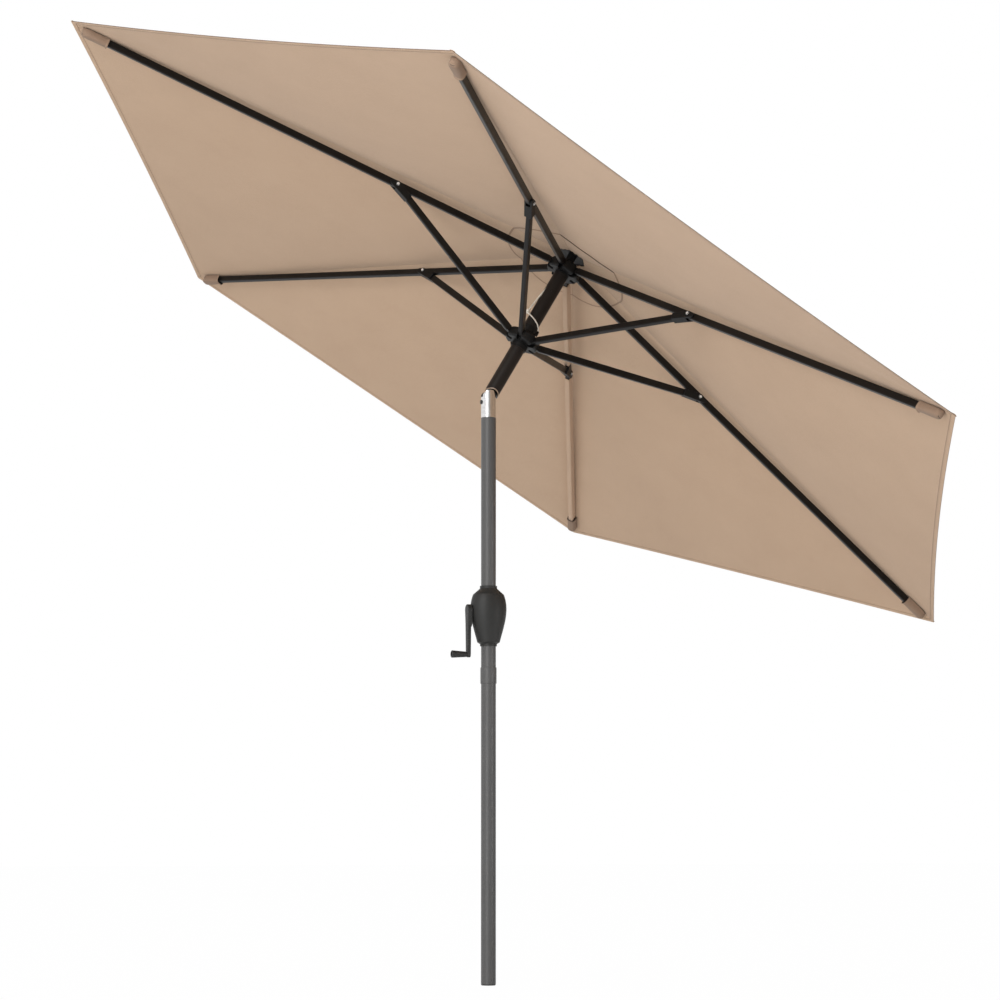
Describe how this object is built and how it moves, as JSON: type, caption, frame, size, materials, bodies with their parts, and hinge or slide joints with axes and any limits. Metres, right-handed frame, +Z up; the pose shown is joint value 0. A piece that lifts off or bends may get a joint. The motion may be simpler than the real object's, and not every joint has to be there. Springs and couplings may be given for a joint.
{
  "type": "tilting patio umbrella",
  "caption": "Hexagonal patio umbrella, tilted open: two-piece pole, crank case, push-button tilt joint, and a folding frame of ribs and struts under a sewn canopy.",
  "frame": {"origin": "centre of the pole's bottom end", "axes": "+Z up the pole, +X the way the mast tilts, +Y along the tilt hinge; the mast is stored tilted"},
  "size_m": [2.3597, 2.382, 2.371],
  "materials": {
    "pole_paint": "satin dark grey powder coat",
    "mast_paint": "satin black powder coat",
    "bar_paint": "satin black powder coat",
    "case_plastic": "fine moulded texture",
    "hub_plastic": "moulded, satin",
    "knuckle_chrome": "bright plated",
    "steel": "zinc plated",
    "inner_plastic": "natural nylon",
    "canopy_fabric": "woven polyester, tan",
    "cord": "braided, off-white"
  },
  "bodies": {
    "pole": {"lower_pole": "pole_paint", "pole_foot_plug": "case_plastic", "pole_coupler": "pole_paint", "upper_pole": "pole_paint", "crank_case_front": "case_plastic", "crank_case_rear": "case_plastic", "case_screws": "steel", "shaft_bushes": "inner_plastic", "tilt_knuckle": "knuckle_chrome", "tilt_pin": "steel", "cord_in_pole": "cord"},
    "button": {"tilt_button": "case_plastic"},
    "crank": {"crank_shaft": "steel", "cord_spool": "inner_plastic", "crank_arm": "case_plastic", "knob_pin": "steel"},
    "knob": {"crank_knob": "case_plastic"},
    "mast": {"mast_tube": "mast_paint", "tilt_tongue": "knuckle_chrome", "top_hub": "hub_plastic", "rib_hinge_pins": "steel", "pulley_pin": "steel", "crown_washer": "hub_plastic", "finial": "hub_plastic", "cord_in_mast": "cord"},
    "pulley": {"cord_pulley": "inner_plastic"},
    "runner": {"runner": "hub_plastic", "strut_hinge_pins": "steel", "hoist_cord": "cord", "cord_bridle": "cord"},
    "rib_1": {"rib_1": "bar_paint", "corner_pocket_1": "canopy_fabric"},
    "strut_1": {"strut_1": "bar_paint", "strut_clip_1": "hub_plastic"},
    "panel_1": {"canopy_panel_1": "canopy_fabric"},
    "rib_2": {"rib_2": "bar_paint", "corner_pocket_2": "canopy_fabric"},
    "strut_2": {"strut_2": "bar_paint", "strut_clip_2": "hub_plastic"},
    "panel_2": {"canopy_panel_2": "canopy_fabric"},
    "rib_3": {"rib_3": "bar_paint", "corner_pocket_3": "canopy_fabric"},
    "strut_3": {"strut_3": "bar_paint", "strut_clip_3": "hub_plastic"},
    "panel_3": {"canopy_panel_3": "canopy_fabric"},
    "rib_4": {"rib_4": "bar_paint", "corner_pocket_4": "canopy_fabric"},
    "strut_4": {"strut_4": "bar_paint", "strut_clip_4": "hub_plastic"},
    "panel_4": {"canopy_panel_4": "canopy_fabric"},
    "rib_5": {"rib_5": "bar_paint", "corner_pocket_5": "canopy_fabric"},
    "strut_5": {"strut_5": "bar_paint", "strut_clip_5": "hub_plastic"},
    "panel_5": {"canopy_panel_5": "canopy_fabric"},
    "rib_6": {"rib_6": "bar_paint", "corner_pocket_6": "canopy_fabric"},
    "strut_6": {"strut_6": "bar_paint", "strut_clip_6": "hub_plastic"},
    "panel_6": {"canopy_panel_6": "canopy_fabric"}
  },
  "joints": [
    {"name": "mast_tilt", "type": "hinge", "parent": "pole", "child": "mast", "pos_m": [0, 0, 1.5], "axis": [0, 1, 0], "range_deg": [-30.9, 0]},
    {"name": "button_press", "type": "slide", "parent": "pole", "child": "button", "axis": [1, 0, 0], "range_m": [0, 0.003], "stiffness_N_per_m": 600},
    {"name": "runner_slide", "type": "slide", "parent": "mast", "child": "runner", "axis": [0.5135, 0, 0.8581], "range_m": [-0.11, 0], "deforming": ["hoist_cord"]},
    {"name": "crank_turn", "type": "hinge", "parent": "pole", "child": "crank", "pos_m": [0, 0, 0.954], "axis": [-1, 0, 0], "range_deg": [-646.9, 0]},
    {"name": "knob_spin", "type": "hinge", "parent": "crank", "child": "knob", "pos_m": [-0.0796, 0, 0.84], "axis": [-1, 0, 0], "continuous": true},
    {"name": "pulley_spin", "type": "hinge", "parent": "mast", "child": "pulley", "pos_m": [0.16389, 0, 1.7865], "axis": [0, 1, 0], "range_deg": [-615.4, 0]},
    {"name": "rib_1_fold", "type": "hinge", "parent": "mast", "child": "rib_1", "pos_m": [0.24191, 0, 1.83021], "axis": [0, 1, 0], "range_deg": [0, 8.8]},
    {"name": "strut_1_fold", "type": "hinge", "parent": "runner", "child": "strut_1", "pos_m": [0.12487, 0, 1.63854], "axis": [0, 1, 0], "range_deg": [-5.69, 0]},
    {"name": "panel_1_fold", "type": "hinge", "parent": "mast", "child": "panel_1", "pos_m": [0.23212, 0, 1.88784], "axis": [-0.429, 0.866, 0.2568], "range_deg": [0, 9.59], "deforming": ["canopy_panel_1"]},
    {"name": "rib_2_fold", "type": "hinge", "parent": "mast", "child": "rib_2", "pos_m": [0.22561, 0.03291, 1.83997], "axis": [-0.7431, 0.5, 0.4447], "range_deg": [0, 8.8]},
    {"name": "strut_2_fold", "type": "hinge", "parent": "runner", "child": "strut_2", "pos_m": [0.10942, 0.03118, 1.64778], "axis": [-0.7431, 0.5, 0.4447], "range_deg": [-5.69, 0]},
    {"name": "panel_2_fold", "type": "hinge", "parent": "mast", "child": "panel_2", "pos_m": [0.23212, 0, 1.88784], "axis": [-0.8581, 0, 0.5135], "range_deg": [0, 9.59], "deforming": ["canopy_panel_2"]},
    {"name": "rib_3_fold", "type": "hinge", "parent": "mast", "child": "rib_3", "pos_m": [0.193, 0.03291, 1.85948], "axis": [-0.7431, -0.5, 0.4447], "range_deg": [0, 8.8]},
    {"name": "strut_3_fold", "type": "hinge", "parent": "runner", "child": "strut_3", "pos_m": [0.07853, 0.03118, 1.66627], "axis": [-0.7431, -0.5, 0.4447], "range_deg": [-5.69, 0]},
    {"name": "panel_3_fold", "type": "hinge", "parent": "mast", "child": "panel_3", "pos_m": [0.23212, 0, 1.88784], "axis": [-0.429, -0.866, 0.2568], "range_deg": [0, 9.59], "deforming": ["canopy_panel_3"]},
    {"name": "rib_4_fold", "type": "hinge", "parent": "mast", "child": "rib_4", "pos_m": [0.1767, 0, 1.86924], "axis": [0, -1, 0], "range_deg": [0, 8.8]},
    {"name": "strut_4_fold", "type": "hinge", "parent": "runner", "child": "strut_4", "pos_m": [0.06309, 0, 1.67551], "axis": [0, -1, 0], "range_deg": [-5.69, 0]},
    {"name": "panel_4_fold", "type": "hinge", "parent": "mast", "child": "panel_4", "pos_m": [0.23212, 0, 1.88784], "axis": [0.429, -0.866, -0.2568], "range_deg": [0, 9.59], "deforming": ["canopy_panel_4"]},
    {"name": "rib_5_fold", "type": "hinge", "parent": "mast", "child": "rib_5", "pos_m": [0.193, -0.03291, 1.85948], "axis": [0.7431, -0.5, -0.4447], "range_deg": [0, 8.8]},
    {"name": "strut_5_fold", "type": "hinge", "parent": "runner", "child": "strut_5", "pos_m": [0.07853, -0.03118, 1.66627], "axis": [0.7431, -0.5, -0.4447], "range_deg": [-5.69, 0]},
    {"name": "panel_5_fold", "type": "hinge", "parent": "mast", "child": "panel_5", "pos_m": [0.23212, 0, 1.88784], "axis": [0.8581, 0, -0.5135], "range_deg": [0, 9.59], "deforming": ["canopy_panel_5"]},
    {"name": "rib_6_fold", "type": "hinge", "parent": "mast", "child": "rib_6", "pos_m": [0.22561, -0.03291, 1.83997], "axis": [0.7431, 0.5, -0.4447], "range_deg": [0, 8.8]},
    {"name": "strut_6_fold", "type": "hinge", "parent": "runner", "child": "strut_6", "pos_m": [0.10942, -0.03118, 1.64778], "axis": [0.7431, 0.5, -0.4447], "range_deg": [-5.69, 0]},
    {"name": "panel_6_fold", "type": "hinge", "parent": "mast", "child": "panel_6", "pos_m": [0.23212, 0, 1.88784], "axis": [0.429, 0.866, -0.2568], "range_deg": [0, 9.59], "deforming": ["canopy_panel_6"]}
  ],
  "couplings": [
    {"joint": "crank_turn", "follows": "runner_slide", "rad_per_m": 102.56},
    {"joint": "pulley_spin", "follows": "runner_slide", "rad_per_m": 97.561},
    {"joint": "rib_1_fold", "follows": "runner_slide", "rad_per_m": -1.3807},
    {"joint": "strut_1_fold", "follows": "runner_slide", "rad_per_m": 0.88628},
    {"joint": "panel_1_fold", "follows": "runner_slide", "rad_per_m": -1.5055},
    {"joint": "rib_2_fold", "follows": "runner_slide", "rad_per_m": -1.3807},
    {"joint": "strut_2_fold", "follows": "runner_slide", "rad_per_m": 0.88628},
    {"joint": "panel_2_fold", "follows": "runner_slide", "rad_per_m": -1.5055},
    {"joint": "rib_3_fold", "follows": "runner_slide", "rad_per_m": -1.3807},
    {"joint": "strut_3_fold", "follows": "runner_slide", "rad_per_m": 0.88628},
    {"joint": "panel_3_fold", "follows": "runner_slide", "rad_per_m": -1.5055},
    {"joint": "rib_4_fold", "follows": "runner_slide", "rad_per_m": -1.3807},
    {"joint": "strut_4_fold", "follows": "runner_slide", "rad_per_m": 0.88628},
    {"joint": "panel_4_fold", "follows": "runner_slide", "rad_per_m": -1.5055},
    {"joint": "rib_5_fold", "follows": "runner_slide", "rad_per_m": -1.3807},
    {"joint": "strut_5_fold", "follows": "runner_slide", "rad_per_m": 0.88628},
    {"joint": "panel_5_fold", "follows": "runner_slide", "rad_per_m": -1.5055},
    {"joint": "rib_6_fold", "follows": "runner_slide", "rad_per_m": -1.3807},
    {"joint": "strut_6_fold", "follows": "runner_slide", "rad_per_m": 0.88628},
    {"joint": "panel_6_fold", "follows": "runner_slide", "rad_per_m": -1.5055}
  ]
}
